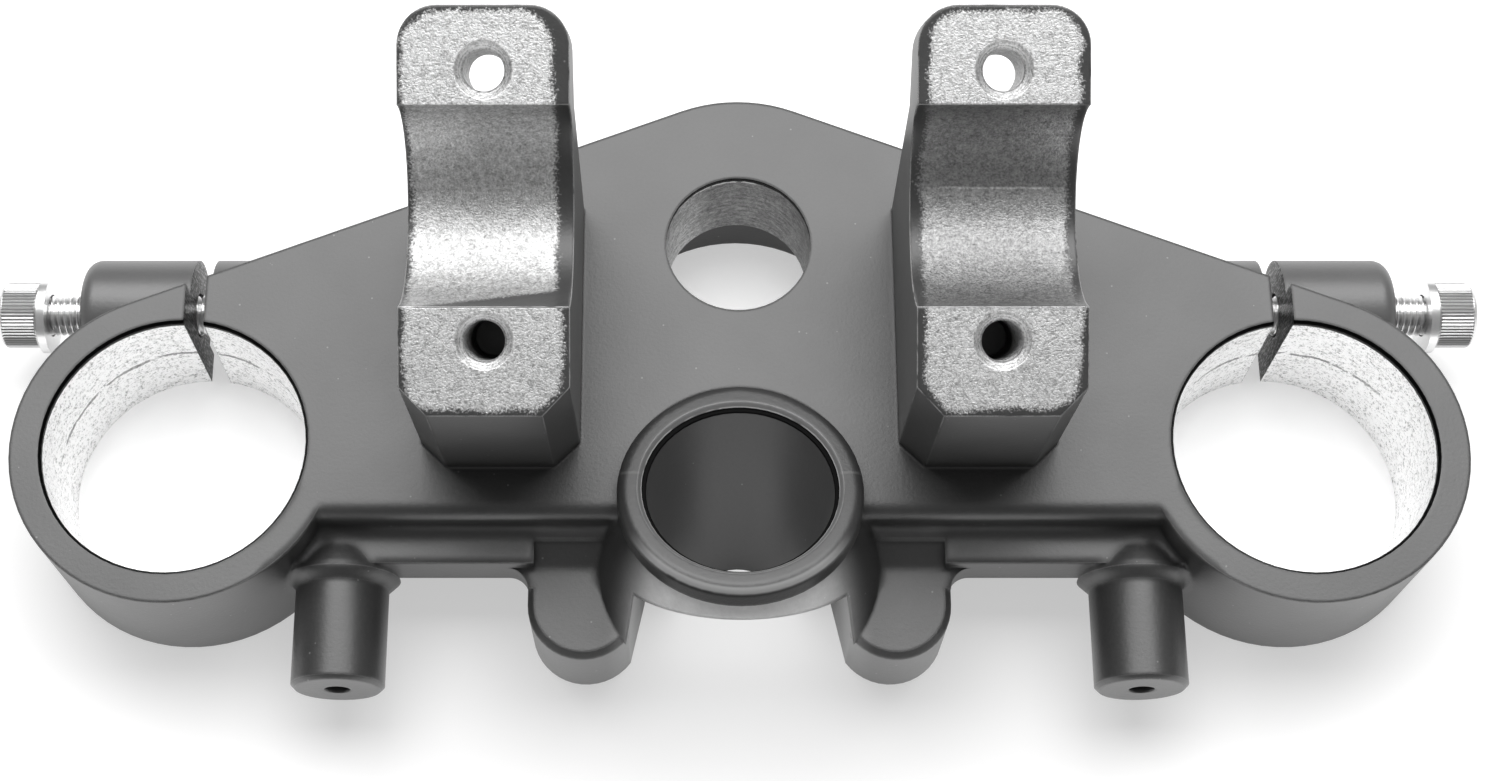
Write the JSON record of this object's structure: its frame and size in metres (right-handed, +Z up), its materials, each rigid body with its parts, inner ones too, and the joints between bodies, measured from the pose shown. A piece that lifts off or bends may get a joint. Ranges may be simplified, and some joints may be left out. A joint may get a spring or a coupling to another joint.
{
  "type": "motorcycle triple clamp",
  "caption": "Upper fork clamp of a motorcycle: split fork rings with pinch screws, handlebar saddles on two arms, a stem bore and an ignition boss, in one casting.",
  "frame": {"origin": "on the steering stem's axis, in the top face of the deck", "axes": "+X to the rider's right, +Y to the rear of the motorcycle, +Z up along the stem"},
  "size_m": [0.2928, 0.116, 0.0978],
  "materials": {
    "casting": "satin dark powder coat, bare blasted aluminium on the clamping faces and in the bores",
    "screw_steel": "bright plated steel"
  },
  "bodies": {
    "root": {"yoke": "casting", "pinch_screw_left": "screw_steel", "pinch_screw_right": "screw_steel", "pinch_washer_left": "screw_steel", "pinch_washer_right": "screw_steel"}
  },
  "joints": []
}
